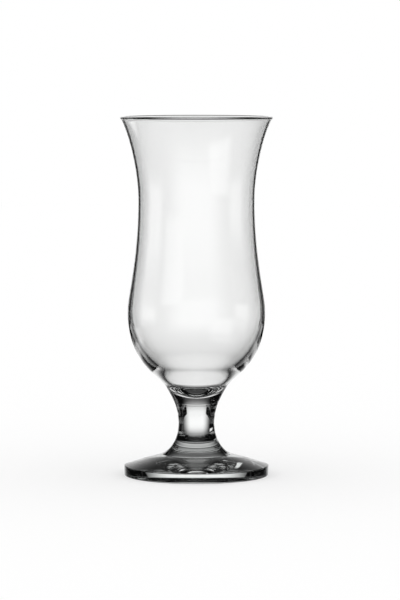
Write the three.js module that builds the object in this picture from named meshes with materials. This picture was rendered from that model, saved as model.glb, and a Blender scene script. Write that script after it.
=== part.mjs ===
// Tulip beer glass: a blown bowl, a short solid stem and a heavy round foot, welded hot into one glass.
// Millimetres, +Z up, origin at the centre of the circle that the foot rests on.

import * as THREE from 'three';

// Foot
const footDiameter = 81.6;
const footEdgeHeight = 5.6;
const footTopEdgeRadius = 0.5;
const footBottomEdgeRadius = 0.6;
const footDomeRise = 6.1;
const footWeldDiameter = 38.7;
const restingRingWidth = 7;
const undersideHollow = 0.5;

// Stem
const stemDiameter = 20.3;
const stemLowerRise = 16.8;
const stemUpperRise = 12.5;

// Bowl, outside
const bowlWeldDiameter = 25;
const bowlBaseDiameter = 33.5;
const bellyDiameter = 77.6;
const waistDiameter = 65.6;
const rimDiameter = 85.8;
const bowlBaseRise = 8.3;
const bellyRise = 43.3;
const neckRise = 62.4;
const flareRise = 47;

// Bowl, inside: a round floor, a throat, a shoulder where it opens into the belly, and the thin wall above
const bowlFloorThickness = 5.2;
const throatRise = 6.2;
const throatDiameter = 28;
const shoulderRise = 10.7;
const shoulderDiameter = 49.2;
const bellyWall = 1.7;
const waistWall = 1.1;
const rimWall = 1.3;
const rimBeadSwell = 0.3;

// Lean of the glass away from upright, in degrees
const rimLean = 27;
const shoulderLean = 47.7;
const throatLean = 41.7;
const bowlBaseLean = 27.5;
const bowlWeldLean = 22;
const footWeldLean = 60;
const footDomeTopLean = 78;
const footDomeEdgeLean = 72;

// Fullness of each curve: the length of its handles as shares of its own rise
const bowlBasePull = { low: 0.405, high: 0.281 };
const bellyPull = { low: 0.175, high: 0.693 };
const neckPull = { low: 0.128, high: 0.526 };
const flarePull = { low: 0.34, high: 0.22 };
const cavityPull = { wall: 0.34, shoulder: 0.28 };
const shoulderPull = { high: 0.44, low: 0.45 };
const stemUpperPull = { low: 0.415, high: 0.263 };
const stemLowerPull = { low: 0.276, high: 0.206 };
const domePull = { low: 0.33, high: 0.2 };

// Fullness of the two floors: how far each runs level, as a share of its radius
const floorSpread = 0.34;
const floorSteepness = 0.29;
const hollowSpread = 0.5;

// Facets round the axis and steps along each curve
const facetsAround = 56;
const longCurveSteps = 8;
const shortCurveSteps = 5;
const cornerSteps = 3;
const beadSteps = 4;

const quarterTurn = Math.PI / 2;
const halfTurn = Math.PI;

// Clear soda-lime glass, one material for each piece
function clearGlass() {
  return new THREE.MeshStandardMaterial({
    color: 0xf2f6f4,
    roughness: 0.02,
    metalness: 0,
    transparent: true,
    opacity: 0.35,
  });
}

function at(radius, height) {
  return new THREE.Vector2(radius, height);
}

// How far a wall at the given lean moves outward over a rise
function outward(lean, rise) {
  return Math.tan(THREE.MathUtils.degToRad(lean)) * rise;
}

// A smooth stretch of wall between two points, which leaves and arrives at the given leans from upright
function sweep(start, startLean, startPull, end, endLean, endPull) {
  const startRise = startPull * (end.y - start.y);
  const endRise = endPull * (end.y - start.y);
  const leaving = at(start.x + outward(startLean, startRise), start.y + startRise);
  const arriving = at(end.x - outward(endLean, endRise), end.y - endRise);
  return new THREE.CubicBezierCurve(start, leaving, arriving, end);
}

function line(start, end) {
  return new THREE.LineCurve(start, end);
}

function arc(centre, radius, startAngle, endAngle) {
  return new THREE.EllipseCurve(centre.x, centre.y, radius, radius, startAngle, endAngle);
}

// Joins curves end to end into one outline, with the given number of steps on each
function outline(stretches) {
  const points = [];
  for (const { curve, steps } of stretches) {
    const stretch = curve.getPoints(steps);
    points.push(...stretch.slice(points.length ? 1 : 0));
  }
  return points;
}

// Turns an outline about the Z axis into a named piece, standing at the given height
function turned(name, points, height) {
  const geometry = new THREE.LatheGeometry(points, facetsAround);
  geometry.rotateX(quarterTurn);
  const piece = new THREE.Mesh(geometry, clearGlass());
  piece.name = name;
  piece.position.z = height;
  return piece;
}

// Foot: a resting ring round a shallow hollow, a rounded edge and a domed top with a flat weld face
function makeFoot() {
  const footRadius = footDiameter / 2;
  const footHeight = footEdgeHeight + footDomeRise;
  const ringOuter = at(footRadius - footBottomEdgeRadius, 0);
  const ringInner = at(ringOuter.x - restingRingWidth, 0);
  const hollowTop = at(0, undersideHollow);
  const hollowRim = at(ringInner.x * hollowSpread, undersideHollow);
  const hollow = new THREE.QuadraticBezierCurve(hollowTop, hollowRim, ringInner);
  const bottomCentre = at(ringOuter.x, footBottomEdgeRadius);
  const topCentre = at(footRadius - footTopEdgeRadius, footEdgeHeight - footTopEdgeRadius);
  const bottomEdge = arc(bottomCentre, footBottomEdgeRadius, -quarterTurn, 0);
  const topEdge = arc(topCentre, footTopEdgeRadius, 0, THREE.MathUtils.degToRad(footDomeEdgeLean));
  const weldEdge = at(footWeldDiameter / 2, footHeight);
  const dome = sweep(
    topEdge.getPoint(1), -footDomeEdgeLean, domePull.low,
    weldEdge, -footDomeTopLean, domePull.high,
  );
  const points = outline([
    { curve: hollow, steps: shortCurveSteps },
    { curve: line(ringInner, ringOuter), steps: 1 },
    { curve: bottomEdge, steps: cornerSteps },
    { curve: line(bottomEdge.getPoint(1), topEdge.getPoint(0)), steps: 1 },
    { curve: topEdge, steps: cornerSteps },
    { curve: dome, steps: shortCurveSteps },
    { curve: line(weldEdge, at(0, footHeight)), steps: 1 },
  ]);
  return turned('foot', points, 0);
}

// Stem: a solid waisted column between its two flat weld faces
function makeStem(height) {
  const low = at(footWeldDiameter / 2, 0);
  const narrow = at(stemDiameter / 2, stemLowerRise);
  const high = at(bowlWeldDiameter / 2, stemLowerRise + stemUpperRise);
  const lower = sweep(low, -footWeldLean, stemLowerPull.low, narrow, 0, stemLowerPull.high);
  const upper = sweep(narrow, 0, stemUpperPull.low, high, bowlWeldLean, stemUpperPull.high);
  const points = outline([
    { curve: line(at(0, 0), low), steps: 1 },
    { curve: lower, steps: longCurveSteps },
    { curve: upper, steps: longCurveSteps },
    { curve: line(high, at(0, high.y)), steps: 1 },
  ]);
  return turned('stem', points, height);
}

// Outside of the bowl, from the weld face up to where the rim bead starts
function bowlOutside(beadStart) {
  const weld = at(bowlWeldDiameter / 2, 0);
  const base = at(bowlBaseDiameter / 2, bowlBaseRise);
  const belly = at(bellyDiameter / 2, base.y + bellyRise);
  const waist = at(waistDiameter / 2, belly.y + neckRise);
  return [
    { curve: line(at(0, 0), weld), steps: 1 },
    {
      curve: sweep(weld, bowlWeldLean, bowlBasePull.low, base, bowlBaseLean, bowlBasePull.high),
      steps: shortCurveSteps,
    },
    { curve: sweep(base, bowlBaseLean, bellyPull.low, belly, 0, bellyPull.high), steps: longCurveSteps },
    { curve: sweep(belly, 0, neckPull.low, waist, 0, neckPull.high), steps: longCurveSteps },
    { curve: sweep(waist, 0, flarePull.low, beadStart, rimLean, flarePull.high), steps: longCurveSteps },
  ];
}

// Inside of the bowl, from where the rim bead ends down to the middle of its round floor
function bowlInside(beadEnd) {
  const bellyHeight = bowlBaseRise + bellyRise;
  const waist = at(waistDiameter / 2 - waistWall, bellyHeight + neckRise);
  const belly = at(bellyDiameter / 2 - bellyWall, bellyHeight);
  const throat = at(throatDiameter / 2, bowlFloorThickness + throatRise);
  const shoulder = at(shoulderDiameter / 2, throat.y + shoulderRise);
  const floor = at(0, bowlFloorThickness);
  const drop = floorSteepness * throatRise;
  const floorCurve = new THREE.CubicBezierCurve(
    throat,
    at(throat.x - outward(throatLean, drop), throat.y - drop),
    at(throat.x * floorSpread, floor.y),
    floor,
  );
  return [
    { curve: sweep(beadEnd, rimLean, flarePull.high, waist, 0, flarePull.low), steps: longCurveSteps },
    { curve: sweep(waist, 0, neckPull.high, belly, 0, neckPull.low), steps: longCurveSteps },
    {
      curve: sweep(belly, 0, cavityPull.wall, shoulder, shoulderLean, cavityPull.shoulder),
      steps: longCurveSteps,
    },
    {
      curve: sweep(shoulder, shoulderLean, shoulderPull.high, throat, throatLean, shoulderPull.low),
      steps: shortCurveSteps,
    },
    { curve: floorCurve, steps: longCurveSteps },
  ];
}

// Bowl: the outside, a rim bead that stands a little proud of it, and the inside
function makeBowl(height) {
  const rimHeight = bowlBaseRise + bellyRise + neckRise + flareRise;
  const beadRadius = (rimWall + rimBeadSwell) / 2;
  const beadCentre = at(rimDiameter / 2 - beadRadius, rimHeight - beadRadius);
  const lean = THREE.MathUtils.degToRad(rimLean);
  const beadGrip = Math.acos((rimWall - beadRadius) / beadRadius);
  const beadOutside = arc(beadCentre, beadRadius, -lean - beadGrip, quarterTurn);
  const beadInside = arc(beadCentre, beadRadius, quarterTurn, halfTurn - lean);
  const points = outline([
    ...bowlOutside(beadOutside.getPoint(0)),
    { curve: beadOutside, steps: beadSteps },
    { curve: beadInside, steps: beadSteps },
    ...bowlInside(beadInside.getPoint(1)),
  ]);
  return turned('bowl', points, height);
}

const stemBase = footEdgeHeight + footDomeRise;
const bowlBase = stemBase + stemLowerRise + stemUpperRise;

const glass = new THREE.Group();
glass.add(makeFoot());
glass.add(makeStem(stemBase));
glass.add(makeBowl(bowlBase));

export default glass;
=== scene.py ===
import bpy
import math
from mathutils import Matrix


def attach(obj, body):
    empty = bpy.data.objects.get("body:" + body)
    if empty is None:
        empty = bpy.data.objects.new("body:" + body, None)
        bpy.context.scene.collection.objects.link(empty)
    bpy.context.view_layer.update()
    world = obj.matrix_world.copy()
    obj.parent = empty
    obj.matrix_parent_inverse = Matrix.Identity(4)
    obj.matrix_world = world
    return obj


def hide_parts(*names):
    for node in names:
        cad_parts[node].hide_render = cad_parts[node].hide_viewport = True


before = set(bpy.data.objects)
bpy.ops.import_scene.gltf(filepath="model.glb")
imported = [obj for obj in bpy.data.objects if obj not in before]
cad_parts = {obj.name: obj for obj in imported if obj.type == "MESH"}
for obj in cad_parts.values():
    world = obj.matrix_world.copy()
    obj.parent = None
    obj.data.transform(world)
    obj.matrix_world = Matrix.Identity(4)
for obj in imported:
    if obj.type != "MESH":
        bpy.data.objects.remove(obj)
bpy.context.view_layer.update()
print("frame loaded:", sorted(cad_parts))

scene = bpy.context.scene
mm = 0.001
tiny = 0.001 * mm  # points closer than this are the same point

# camera of the photograph: a little above the rim, long lens
cameraSetup = {
    "distance": 1.8,
    "eyeHeight": 0.244,
    "pitch": 4.61,  # degrees down
    "sideways": 0.002,  # the glass stands a little left of the middle
    "lens": 192.4,
    "sensor": 36,
}
cameraData = bpy.data.cameras.new("photoCamera")
cameraData.lens = cameraSetup["lens"]
cameraData.sensor_width = cameraSetup["sensor"]
camera = bpy.data.objects.new("photoCamera", cameraData)
scene.collection.objects.link(camera)
camera.location = (cameraSetup["sideways"], -cameraSetup["distance"], cameraSetup["eyeHeight"])
camera.rotation_euler = (math.radians(90 - cameraSetup["pitch"]), 0, 0)
scene.camera = camera
scene.view_settings.view_transform = "Standard"
print("camera placed")


# outlines are lists of (radius, height) points
def bezier(a, b, c, d, steps=40):
    points = []
    for i in range(steps + 1):
        t = i / steps
        u = 1 - t
        r = u**3 * a[0] + 3 * u * u * t * b[0] + 3 * u * t * t * c[0] + t**3 * d[0]
        z = u**3 * a[1] + 3 * u * u * t * b[1] + 3 * u * t * t * c[1] + t**3 * d[1]
        points.append((r, z))
    return points


# wall between two points that leaves and arrives at given leans from upright, in degrees;
# the pulls are the lengths of its two handles, as shares of its rise
def sweep(start, startLean, startPull, end, endLean, endPull):
    rise = end[1] - start[1]
    leaving = math.tan(math.radians(startLean))
    arriving = math.tan(math.radians(endLean))
    handleA = (start[0] + leaving * startPull * rise, start[1] + startPull * rise)
    handleB = (end[0] - arriving * endPull * rise, end[1] - endPull * rise)
    return bezier(start, handleA, handleB, end)


def arc(centre, radius, startAngle, endAngle, steps=16):
    points = []
    for i in range(steps + 1):
        angle = math.radians(startAngle + (endAngle - startAngle) * i / steps)
        points.append((centre[0] + radius * math.cos(angle), centre[1] + radius * math.sin(angle)))
    return points


def joinUp(*stretches):
    points = []
    for stretch in stretches:
        for p in stretch:
            if not points or math.dist(points[-1], p) > tiny:
                points.append(p)
    return points


# turns an outline about Z; the level faces at the weld heights get the second material slot
def lathe(name, outline, weldHeights, segments=192):
    verts, rings = [], []
    for r, z in outline:
        start = len(verts)
        if r < tiny:
            verts.append((0, 0, z))
            rings.append([start] * segments)
        else:
            for s in range(segments):
                a = 2 * math.pi * s / segments
                verts.append((r * math.sin(a), -r * math.cos(a), z))
            rings.append(list(range(start, start + segments)))
    faces, slots = [], []
    for i in range(len(rings) - 1):
        low, high = rings[i], rings[i + 1]
        level = outline[i][1] == outline[i + 1][1] and outline[i][1] in weldHeights
        for s in range(segments):
            n = (s + 1) % segments
            corners = (low[s], low[n], high[n], high[s])
            faces.append(tuple(dict.fromkeys(corners)))  # triangles where a ring is a point on the axis
            slots.append(1 if level else 0)
    mesh = bpy.data.meshes.new(name)
    mesh.from_pydata(verts, [], faces)
    mesh.update()
    mesh.polygons.foreach_set("use_smooth", [True] * len(faces))
    mesh.polygons.foreach_set("material_index", slots)
    piece = bpy.data.objects.new(name, mesh)
    scene.collection.objects.link(piece)
    return piece


def addNode(tree, kind, **values):
    node = tree.nodes.new(kind)
    for key, value in values.items():
        setattr(node, key, value)
    return node


# puts a number, a colour or another node's output on an input
def feed(tree, socket, value):
    if isinstance(value, (int, float, tuple)):
        socket.default_value = value
    else:
        tree.links.new(value, socket)


def mathNode(tree, operation, a, b=0.0):
    node = addNode(tree, "ShaderNodeMath", operation=operation)
    feed(tree, node.inputs[0], a)
    feed(tree, node.inputs[1], b)
    return node.outputs[0]


def smooth(tree, value, fromLow, fromHigh, toLow, toHigh):
    node = addNode(tree, "ShaderNodeMapRange", interpolation_type="SMOOTHSTEP")
    feed(tree, node.inputs["Value"], value)
    feed(tree, node.inputs["From Min"], fromLow)
    feed(tree, node.inputs["From Max"], fromHigh)
    feed(tree, node.inputs["To Min"], toLow)
    feed(tree, node.inputs["To Max"], toHigh)
    return node.outputs["Result"]


# what all the glass shares; the last two go from a range of the noise to a range of the effect
glassLook = {
    "ior": 1.52,
    "rippleDetail": 1.5,
    "hazeScale": 35.0,
    "hazeDetail": 4.0,
    "hazePatches": (0.35, 0.7, 0.4, 1.0),
    "tintWander": (0.3, 0.7, 0.7, 1.0),
}


# blown glass: faint cords and ripples in the surface, a breath of haze, a green tint that wanders a little
def glassFinishGroup():
    group = bpy.data.node_groups.new("glassFinish", "ShaderNodeTree")
    face = group.interface
    face.new_socket("Tint", in_out="INPUT", socket_type="NodeSocketColor")
    face.new_socket("Ripple Scale", in_out="INPUT", socket_type="NodeSocketFloat")
    face.new_socket("Cord Stretch", in_out="INPUT", socket_type="NodeSocketFloat")
    face.new_socket("Haze", in_out="INPUT", socket_type="NodeSocketFloat")
    face.new_socket("Color", in_out="OUTPUT", socket_type="NodeSocketColor")
    face.new_socket("Roughness", in_out="OUTPUT", socket_type="NodeSocketFloat")
    face.new_socket("Height", in_out="OUTPUT", socket_type="NodeSocketFloat")
    given = addNode(group, "NodeGroupInput").outputs
    out = addNode(group, "NodeGroupOutput").inputs
    place = addNode(group, "ShaderNodeTexCoord").outputs["Object"]

    stretch = addNode(group, "ShaderNodeCombineXYZ")
    feed(group, stretch.inputs["X"], 1.0)
    feed(group, stretch.inputs["Y"], 1.0)
    feed(group, stretch.inputs["Z"], given["Cord Stretch"])
    drawn = addNode(group, "ShaderNodeVectorMath", operation="MULTIPLY")
    feed(group, drawn.inputs[0], place)
    feed(group, drawn.inputs[1], stretch.outputs[0])
    ripple = addNode(group, "ShaderNodeTexNoise")
    feed(group, ripple.inputs["Detail"], glassLook["rippleDetail"])
    feed(group, ripple.inputs["Vector"], drawn.outputs[0])
    feed(group, ripple.inputs["Scale"], given["Ripple Scale"])
    feed(group, out["Height"], ripple.outputs["Fac"])

    breath = addNode(group, "ShaderNodeTexNoise")
    feed(group, breath.inputs["Scale"], glassLook["hazeScale"])
    feed(group, breath.inputs["Detail"], glassLook["hazeDetail"])
    feed(group, breath.inputs["Vector"], place)
    patches = smooth(group, breath.outputs["Fac"], *glassLook["hazePatches"])
    feed(group, out["Roughness"], mathNode(group, "MULTIPLY", patches, given["Haze"]))

    wander = addNode(group, "ShaderNodeMix", data_type="RGBA")
    feed(group, wander.inputs["Factor"], smooth(group, ripple.outputs["Fac"], *glassLook["tintWander"]))
    feed(group, wander.inputs[6], (1, 1, 1, 1))  # 6 and 7 are the two colours
    feed(group, wander.inputs[7], given["Tint"])
    feed(group, out["Color"], wander.outputs[2])
    return group


glassFinish = glassFinishGroup()


# a cordStretch under 1 draws the ripples out upright
def clearGlass(name, look):
    mat = bpy.data.materials.new(name)
    mat.use_nodes = True
    tree = mat.node_tree
    shader = tree.nodes["Principled BSDF"]
    finish = addNode(tree, "ShaderNodeGroup", node_tree=glassFinish)
    feed(tree, finish.inputs["Tint"], look["tint"])
    feed(tree, finish.inputs["Ripple Scale"], look["rippleScale"])
    feed(tree, finish.inputs["Cord Stretch"], look["cordStretch"])
    feed(tree, finish.inputs["Haze"], look["haze"])
    bump = addNode(tree, "ShaderNodeBump")
    feed(tree, bump.inputs["Strength"], 1.0)
    feed(tree, bump.inputs["Distance"], look["rippleDepth"])
    feed(tree, bump.inputs["Height"], finish.outputs["Height"])
    feed(tree, shader.inputs["Base Color"], finish.outputs["Color"])
    feed(tree, shader.inputs["Roughness"], finish.outputs["Roughness"])
    feed(tree, shader.inputs["Normal"], bump.outputs["Normal"])
    feed(tree, shader.inputs["IOR"], glassLook["ior"])
    feed(tree, shader.inputs["Transmission Weight"], 1.0)
    return mat


# the pieces are fused hot, so light passes their weld faces unbent
def weldFace():
    mat = bpy.data.materials.new("weldFace")
    mat.use_nodes = True
    tree = mat.node_tree
    tree.nodes.clear()
    clear = addNode(tree, "ShaderNodeBsdfTransparent")
    out = addNode(tree, "ShaderNodeOutputMaterial")
    feed(tree, out.inputs["Surface"], clear.outputs[0])
    return mat


weldMat = weldFace()


def finishPiece(piece, node, mat):
    piece.data.materials.append(mat)
    piece.data.materials.append(weldMat)
    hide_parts(node)
    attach(piece, "root")


# foot: resting ring round a shallow hollow, tight rounded edge, domed top with a level shoulder
foot = {
    "radius": 40.8 * mm,
    "edge": 5.6 * mm,
    "topRound": 0.5 * mm,
    "bottomRound": 0.6 * mm,
    "top": 11.7 * mm,
    "weld": 19.35 * mm,
    "ring": 7 * mm,
    "hollow": 0.5 * mm,
    "hollowPulls": (0.33, 0.67),  # shares of the way out to the ring
    "domeLeans": (72, 78),
    "domePulls": (0.33, 0.2),
    # the foot's tint in both finishes is deeper than the stem's and bowl's: partly the green of its thick
    # glass, partly painted shade that greys the foot
    "polished": {
        "tint": (0.93, 0.962, 0.948, 1),
        "rippleScale": 55.0,
        "cordStretch": 1.0,
        "rippleDepth": 0.005 * mm,
        "haze": 0.02,
    },
    "pressed": {
        "tint": (0.93, 0.962, 0.948, 1),
        "rippleScale": 120.0,
        "cordStretch": 1.0,
        "rippleDepth": 0.003 * mm,
        "haze": 0.04,
    },
    "pressedFacing": -0.5,  # faces that look down more than this
}


def footOutline(f):
    ringOut = (f["radius"] - f["bottomRound"], 0)
    ringIn = (ringOut[0] - f["ring"], 0)
    near, far = f["hollowPulls"]
    deep = f["hollow"]
    hollow = bezier((0, deep), (ringIn[0] * near, deep), (ringIn[0] * far, deep * far), ringIn)
    bottom = arc((ringOut[0], f["bottomRound"]), f["bottomRound"], -90, 0)
    topCentre = (f["radius"] - f["topRound"], f["edge"] - f["topRound"])
    edge = arc(topCentre, f["topRound"], 0, f["domeLeans"][0])
    weld = (f["weld"], f["top"])
    dome = sweep(edge[-1], -f["domeLeans"][0], f["domePulls"][0], weld, -f["domeLeans"][1], f["domePulls"][1])
    return joinUp(hollow, [ringIn, ringOut], bottom, edge, dome, [weld, (0, f["top"])])


footGlass = lathe("footGlass", footOutline(foot), (foot["top"],))
finishPiece(footGlass, "foot", clearGlass("footGlass", foot["polished"]))
# the pressed underside is not polished
footGlass.data.materials.append(clearGlass("pressedGlass", foot["pressed"]))
for face in footGlass.data.polygons:
    if face.normal.z < foot["pressedFacing"] and face.center.z < foot["bottomRound"]:
        face.material_index = 2
print("foot made")

# stem: solid waisted column
stem = {
    "radius": 10.15 * mm,
    "narrow": 28.5 * mm,
    "top": 41 * mm,
    "weld": 12.5 * mm,
    "leans": (60, 22),
    "lowPulls": (0.276, 0.206),
    "highPulls": (0.415, 0.263),
    "polished": {
        "tint": (0.98, 0.993, 0.987, 1),
        "rippleScale": 60.0,
        "cordStretch": 0.6,
        "rippleDepth": 0.005 * mm,
        "haze": 0.015,
    },
}


def stemOutline(s):
    low = (foot["weld"], foot["top"])
    narrow = (s["radius"], s["narrow"])
    high = (s["weld"], s["top"])
    lower = sweep(low, -s["leans"][0], s["lowPulls"][0], narrow, 0, s["lowPulls"][1])
    upper = sweep(narrow, 0, s["highPulls"][0], high, s["leans"][1], s["highPulls"][1])
    return joinUp([(0, low[1]), low], lower, upper, [high, (0, high[1])])


stemGlass = lathe("stemGlass", stemOutline(stem), (foot["top"], stem["top"]))
finishPiece(stemGlass, "stem", clearGlass("stemGlass", stem["polished"]))
print("stem made")

# bowl: thick base, round belly, drawn-in waist, flared lip with a bead proud of the outside
bowl = {
    "base": 16.75 * mm,
    "baseHeight": 49.3 * mm,
    "belly": 38.8 * mm,
    "bellyHeight": 92.6 * mm,
    "waist": 32.8 * mm,
    "waistHeight": 155 * mm,
    "rim": 42.9 * mm,
    "top": 202 * mm,
    "floor": 46.2 * mm,
    "throat": 14 * mm,
    "throatHeight": 52.4 * mm,
    "shoulder": 24.6 * mm,
    "shoulderHeight": 63.1 * mm,
    "bellyWall": 1.7 * mm,
    "waistWall": 1.1 * mm,
    "rimWall": 1.3 * mm,
    "rimSwell": 0.3 * mm,
    "baseLean": 27.5,
    "rimLean": 27,
    "shoulderLean": 47.7,
    "throatLean": 41.7,
    "basePulls": (0.405, 0.281),
    "bellyPulls": (0.175, 0.693),
    "neckPulls": (0.128, 0.526),
    "flarePulls": (0.34, 0.22),
    "cavityPulls": (0.34, 0.28),
    "shoulderPulls": (0.44, 0.45),
    "floorSteep": 0.29,
    "floorSpread": 0.34,
    "polished": {
        "tint": (0.996, 0.999, 0.997, 1),
        "rippleScale": 45.0,
        "cordStretch": 0.35,
        "rippleDepth": 0.03 * mm,
        "haze": 0.01,
    },
}


def bowlOutside(b, beadStart):
    weld = (stem["weld"], stem["top"])
    base = (b["base"], b["baseHeight"])
    belly = (b["belly"], b["bellyHeight"])
    waist = (b["waist"], b["waistHeight"])
    return joinUp(
        [(0, weld[1]), weld],
        sweep(weld, stem["leans"][1], b["basePulls"][0], base, b["baseLean"], b["basePulls"][1]),
        sweep(base, b["baseLean"], b["bellyPulls"][0], belly, 0, b["bellyPulls"][1]),
        sweep(belly, 0, b["neckPulls"][0], waist, 0, b["neckPulls"][1]),
        sweep(waist, 0, b["flarePulls"][0], beadStart, b["rimLean"], b["flarePulls"][1]),
    )


def bowlInside(b, beadEnd):
    waist = (b["waist"] - b["waistWall"], b["waistHeight"])
    belly = (b["belly"] - b["bellyWall"], b["bellyHeight"])
    shoulder = (b["shoulder"], b["shoulderHeight"])
    throat = (b["throat"], b["throatHeight"])
    drop = b["floorSteep"] * (b["throatHeight"] - b["floor"])
    handle = (throat[0] - math.tan(math.radians(b["throatLean"])) * drop, throat[1] - drop)
    high, low = b["shoulderPulls"]
    return joinUp(
        sweep(beadEnd, b["rimLean"], b["flarePulls"][1], waist, 0, b["flarePulls"][0]),
        sweep(waist, 0, b["neckPulls"][1], belly, 0, b["neckPulls"][0]),
        sweep(belly, 0, b["cavityPulls"][0], shoulder, b["shoulderLean"], b["cavityPulls"][1]),
        sweep(shoulder, b["shoulderLean"], high, throat, b["throatLean"], low),
        bezier(throat, handle, (b["floorSpread"] * throat[0], b["floor"]), (0, b["floor"])),
    )


def bowlOutline(b):
    beadRadius = (b["rimWall"] + b["rimSwell"]) / 2
    grip = math.degrees(math.acos((b["rimWall"] - beadRadius) / beadRadius))
    beadCentre = (b["rim"] - beadRadius, b["top"] - beadRadius)
    bead = arc(beadCentre, beadRadius, -b["rimLean"] - grip, 180 - b["rimLean"], steps=32)
    return joinUp(bowlOutside(b, bead[0]), bead, bowlInside(b, bead[-1]))


bowlGlass = lathe("bowlGlass", bowlOutline(bowl), (stem["top"],))
finishPiece(bowlGlass, "bowl", clearGlass("bowlGlass", bowl["polished"]))
print("bowl made")

# floor: white to the camera, with the glass's own soft shadow
floorSetup = {"radius": 3.0, "sides": 96, "color": (0.65, 0.65, 0.65, 1), "lift": 0.35}


def paleFloor():
    mat = bpy.data.materials.new("paleFloor")
    mat.use_nodes = True
    tree = mat.node_tree
    tree.nodes.clear()
    diffuse = addNode(tree, "ShaderNodeBsdfDiffuse")
    feed(tree, diffuse.inputs["Color"], floorSetup["color"])
    lift = addNode(tree, "ShaderNodeEmission")
    toCamera = addNode(tree, "ShaderNodeLightPath").outputs["Is Camera Ray"]
    feed(tree, lift.inputs["Strength"], mathNode(tree, "MULTIPLY", toCamera, floorSetup["lift"]))
    both = addNode(tree, "ShaderNodeAddShader")
    feed(tree, both.inputs[0], diffuse.outputs[0])
    feed(tree, both.inputs[1], lift.outputs[0])
    out = addNode(tree, "ShaderNodeOutputMaterial")
    feed(tree, out.inputs["Surface"], both.outputs[0])
    return mat


bpy.ops.mesh.primitive_circle_add(
    vertices=floorSetup["sides"], radius=floorSetup["radius"], fill_type="NGON"
)
floor = bpy.context.object
floor.name = "floor"
floor.data.materials.append(paleFloor())
floor.visible_transmission = False
floor.visible_glossy = False
print("floor made")

# black cards that only glass shows: those at the sides, behind the bowl, draw its dark outlines,
# and a low curved one round the front keeps stray light out of the foot
# side cards run outward and back at 45 degrees from where they start; corners are (outward, height) in mm
cardSetup = {
    "color": (0.003, 0.003, 0.003, 1),
    "sides": (
        {"start": (102, 280), "corners": ((0, 72), (20, 66), (260, 50), (260, 175), (0, 175))},
        {"start": (72, 150), "corners": ((0, 45), (137, 15), (137, 76), (0, 88))},
    ),
    "front": {"radius": 58 * mm, "low": -30 * mm, "high": 12 * mm, "span": (175, 365), "steps": 20},
}


def blackCard():
    mat = bpy.data.materials.new("blackCard")
    mat.use_nodes = True
    tree = mat.node_tree
    shader = tree.nodes["Principled BSDF"]
    feed(tree, shader.inputs["Base Color"], cardSetup["color"])
    feed(tree, shader.inputs["Specular IOR Level"], 0.0)
    return mat


def cardShapes():
    verts, faces = [], []
    for card in cardSetup["sides"]:
        for side in (-1, 1):
            faces.append(tuple(range(len(verts), len(verts) + len(card["corners"]))))
            for outward, up in card["corners"]:
                x = side * (card["start"][0] + outward) * mm
                y = (card["start"][1] + outward) * mm
                verts.append((x, y, up * mm))
    front = cardSetup["front"]
    first = len(verts)
    for x, y in arc((0, 0), front["radius"], *front["span"], front["steps"]):
        verts.append((x, y, front["low"]))
        verts.append((x, y, front["high"]))
    for n in range(first, len(verts) - 2, 2):
        faces.append((n, n + 2, n + 3, n + 1))
    return verts, faces


cardMesh = bpy.data.meshes.new("blackCards")
cardVerts, cardFaces = cardShapes()
cardMesh.from_pydata(cardVerts, [], cardFaces)
cardMesh.materials.append(blackCard())
cards = bpy.data.objects.new("blackCards", cardMesh)
scene.collection.objects.link(cards)
cards.visible_camera = False
cards.visible_diffuse = False
cards.visible_shadow = False
print("cards made")

# studio: even white light; glass shows only the lit sheets round it, and black between them
# angles in degrees: towards is counted from +X, across fades away sideways, up and down fade in height,
# spill is what is left above and below, glow is the sheet's own strength
sheets = (
    {"towards": 90, "across": (12, 39), "up": (5, 35), "down": (-38, -8), "spill": (0.1, 0.05), "glow": 1.0},
    {"towards": 180, "across": (8, 26), "up": (2, 10), "down": (-16, -6), "spill": (0, 0), "glow": 1.0},
    {"towards": 139, "across": (5, 14), "up": (-20, -17), "down": (-33, -28), "spill": (0, 0), "glow": 1.0},
    {"towards": 315, "across": (12, 30), "up": (-10, -4), "down": (-36, -28), "spill": (0, 0), "glow": 1.0},
    {"towards": 270, "across": (20, 70), "up": (15, 45), "down": (-34, -10), "spill": (0, 0), "glow": 0.8},
)
darkGlow = 0.003  # the black between the sheets
bounces = {"all": 24, "transparent": 32}


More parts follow.
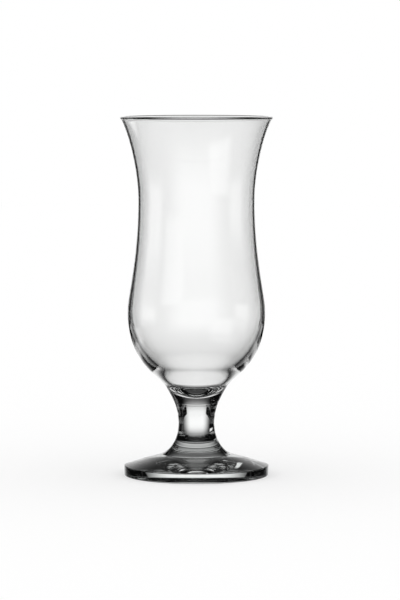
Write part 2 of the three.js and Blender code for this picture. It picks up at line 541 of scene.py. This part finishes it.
def litSheet(tree, x, y, height, sheet):
    c = math.cos(math.radians(sheet["towards"]))
    s = math.sin(math.radians(sheet["towards"]))
    along = mathNode(tree, "ADD", mathNode(tree, "MULTIPLY", x, c), mathNode(tree, "MULTIPLY", y, s))
    across = mathNode(tree, "SUBTRACT", mathNode(tree, "MULTIPLY", y, c), mathNode(tree, "MULTIPLY", x, s))
    turn = mathNode(tree, "DEGREES", mathNode(tree, "ARCTAN2", mathNode(tree, "ABSOLUTE", across), along))
    above, below = sheet["spill"]
    lit = smooth(tree, turn, *sheet["across"], 1.0, 0.0)
    lit = mathNode(tree, "MULTIPLY", lit, smooth(tree, height, *sheet["up"], 1.0, above))
    lit = mathNode(tree, "MULTIPLY", lit, smooth(tree, height, *sheet["down"], below, 1.0))
    return mathNode(tree, "MULTIPLY", lit, sheet["glow"])


world = bpy.data.worlds.new("studio")
scene.world = world
world.use_nodes = True
tree = world.node_tree
tree.nodes.clear()
direction = addNode(tree, "ShaderNodeSeparateXYZ")
feed(tree, direction.inputs[0], addNode(tree, "ShaderNodeTexCoord").outputs["Generated"])
x, y, z = direction.outputs
height = mathNode(tree, "DEGREES", mathNode(tree, "ARCSINE", z))
seen = darkGlow
for sheet in sheets:
    seen = mathNode(tree, "MAXIMUM", litSheet(tree, x, y, height, sheet), seen)
seenBy = addNode(tree, "ShaderNodeLightPath").outputs
throughGlass = mathNode(tree, "MAXIMUM", seenBy["Is Glossy Ray"], seenBy["Is Transmission Ray"])
strength = addNode(tree, "ShaderNodeMix", data_type="FLOAT")
feed(tree, strength.inputs["Factor"], throughGlass)
feed(tree, strength.inputs["A"], 1.0)
feed(tree, strength.inputs["B"], seen)
background = addNode(tree, "ShaderNodeBackground")
feed(tree, background.inputs["Color"], (1, 1, 1, 1))
feed(tree, background.inputs["Strength"], strength.outputs[0])
worldOut = addNode(tree, "ShaderNodeOutputWorld")
feed(tree, worldOut.inputs["Surface"], background.outputs[0])

scene.cycles.max_bounces = bounces["all"]
scene.cycles.transmission_bounces = bounces["all"]
scene.cycles.glossy_bounces = bounces["all"]
scene.cycles.transparent_max_bounces = bounces["transparent"]
print("studio made")
